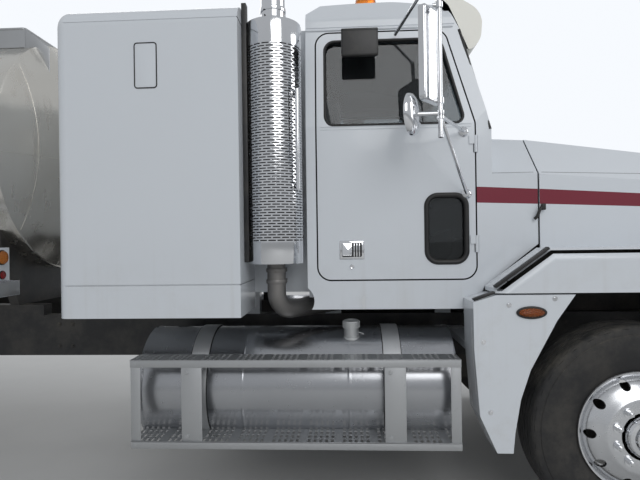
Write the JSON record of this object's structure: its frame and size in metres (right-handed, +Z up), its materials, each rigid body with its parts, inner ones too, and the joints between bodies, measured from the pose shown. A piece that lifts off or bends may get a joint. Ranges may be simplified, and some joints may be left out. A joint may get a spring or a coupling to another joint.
{
  "type": "water truck",
  "caption": "Conventional heavy truck with sleeper cab, polished side fuel tanks and steps, upright exhaust stacks and a round stainless water tank on a three-axle chassis.",
  "frame": {"origin": "middle of the truck's length and width, on the ground", "axes": "+X forward, +Y the truck's left, +Z up"},
  "size_m": [10.4, 2.9, 3.4],
  "materials": {
    "white_paint": "gloss",
    "black_paint": "semi-gloss",
    "grey_paint": "satin",
    "stainless": "polished",
    "polished_aluminium": "polished",
    "chrome": "mirror",
    "cast_iron": "rough",
    "tyre": "matt",
    "glass": "clear",
    "lamp_glass": "clear",
    "amber_lens": "gloss",
    "seat_fabric": "woven",
    "interior_plastic": "satin"
  },
  "bodies": {
    "chassis": {"body_lamps": "amber_lens", "bunk_mattress": "seat_fabric", "cab_fittings": "interior_plastic", "cab_shell": "white_paint", "chassis_rails": "black_paint", "crossmembers": "black_paint", "drive_axles": "black_paint", "driveshafts": "black_paint", "engine_block": "cast_iron", "exhaust_guards": "chrome", "exhaust_pipes": "chrome", "fender_extensions": "white_paint", "front_axle": "cast_iron", "front_bumper": "chrome", "fuel_tanks": "polished_aluminium", "hose_trays": "grey_paint", "leaf_springs": "cast_iron", "manhole_collar": "stainless", "pump_piping": "grey_paint", "rear_bumper": "black_paint", "rear_fenders": "stainless", "seats": "seat_fabric", "side_steps": "polished_aluminium", "sleeper_shell": "white_paint", "sun_visor": "white_paint", "tank_cradle": "black_paint", "tank_ladder": "stainless", "tank_top_rails": "stainless", "water_tank": "stainless", "windshield": "glass"},
    "hood": {"hood": "white_paint", "grille": "chrome", "headlamps": "lamp_glass"},
    "right_door": {"door_right": "white_paint", "door_glass_right": "glass", "mirrors_right": "chrome"},
    "left_door": {"door_left": "white_paint", "door_glass_left": "glass", "mirrors_left": "chrome"},
    "left_knuckle": {"knuckle_left": "cast_iron"},
    "right_knuckle": {"knuckle_right": "cast_iron"},
    "track_rod": {"tie_rod": "cast_iron"},
    "driver_wheel": {"steering_wheel": "interior_plastic"},
    "tank_lid": {"manhole_lid": "stainless"},
    "left_front_wheel": {"front_wheel_left": "polished_aluminium", "front_tyre_left": "tyre"},
    "left_mid_duals": {"dual_wheels_mid_left": "polished_aluminium", "dual_tyres_mid_left": "tyre"},
    "left_rear_duals": {"dual_wheels_rear_left": "polished_aluminium", "dual_tyres_rear_left": "tyre"},
    "right_front_wheel": {"front_wheel_right": "polished_aluminium", "front_tyre_right": "tyre"},
    "right_mid_duals": {"dual_wheels_mid_right": "polished_aluminium", "dual_tyres_mid_right": "tyre"},
    "right_rear_duals": {"dual_wheels_rear_right": "polished_aluminium", "dual_tyres_rear_right": "tyre"}
  },
  "joints": [
    {"name": "steering_left", "type": "hinge", "parent": "chassis", "child": "left_knuckle", "pos_m": [3.93, 0.9, 0.527], "axis": [0, 0, 1], "range_deg": [-35, 35]},
    {"name": "steering_right", "type": "hinge", "parent": "chassis", "child": "right_knuckle", "pos_m": [3.93, -0.9, 0.527], "axis": [0, 0, 1], "range_deg": [-35, 35]},
    {"name": "track_rod_pivot", "type": "hinge", "parent": "left_knuckle", "child": "track_rod", "pos_m": [3.75, 0.9, 0.396], "axis": [0, 0, 1], "range_deg": [-35, 35]},
    {"name": "driver_wheel_turn", "type": "hinge", "parent": "chassis", "child": "driver_wheel", "pos_m": [3, 0.48, 1.98], "axis": [-0.8192, 0, 0.5736], "range_deg": [-525, 525]},
    {"name": "left_front_spin", "type": "hinge", "parent": "left_knuckle", "child": "left_front_wheel", "pos_m": [3.93, 1.03, 0.527], "axis": [0, 1, 0], "continuous": true},
    {"name": "right_front_spin", "type": "hinge", "parent": "right_knuckle", "child": "right_front_wheel", "pos_m": [3.93, -1.03, 0.527], "axis": [0, 1, 0], "continuous": true},
    {"name": "left_mid_spin", "type": "hinge", "parent": "chassis", "child": "left_mid_duals", "pos_m": [-2.21, 0.927, 0.527], "axis": [0, 1, 0], "continuous": true},
    {"name": "right_mid_spin", "type": "hinge", "parent": "chassis", "child": "right_mid_duals", "pos_m": [-2.21, -0.927, 0.527], "axis": [0, 1, 0], "continuous": true},
    {"name": "left_rear_spin", "type": "hinge", "parent": "chassis", "child": "left_rear_duals", "pos_m": [-3.53, 0.927, 0.527], "axis": [0, 1, 0], "continuous": true},
    {"name": "right_rear_spin", "type": "hinge", "parent": "chassis", "child": "right_rear_duals", "pos_m": [-3.53, -0.927, 0.527], "axis": [0, 1, 0], "continuous": true},
    {"name": "right_door_swing", "type": "hinge", "parent": "chassis", "child": "right_door", "pos_m": [3.192, -0.982, 1.281], "axis": [0, 0, 1], "range_deg": [0, 65]},
    {"name": "left_door_swing", "type": "hinge", "parent": "chassis", "child": "left_door", "pos_m": [3.192, 0.982, 1.281], "axis": [0, 0, -1], "range_deg": [0, 65]},
    {"name": "hood_tilt", "type": "hinge", "parent": "chassis", "child": "hood", "pos_m": [5.13, 0, 0.76], "axis": [0, 1, 0], "range_deg": [0, 70]},
    {"name": "tank_lid_swing", "type": "hinge", "parent": "chassis", "child": "tank_lid", "pos_m": [-2.385, 0, 2.996], "axis": [0, -1, 0], "range_deg": [0, 110]}
  ],
  "couplings": [
    {"joint": "steering_right", "follows": "steering_left", "ratio": 1},
    {"joint": "track_rod_pivot", "follows": "steering_left", "ratio": -1},
    {"joint": "driver_wheel_turn", "follows": "steering_left", "ratio": 15}
  ]
}
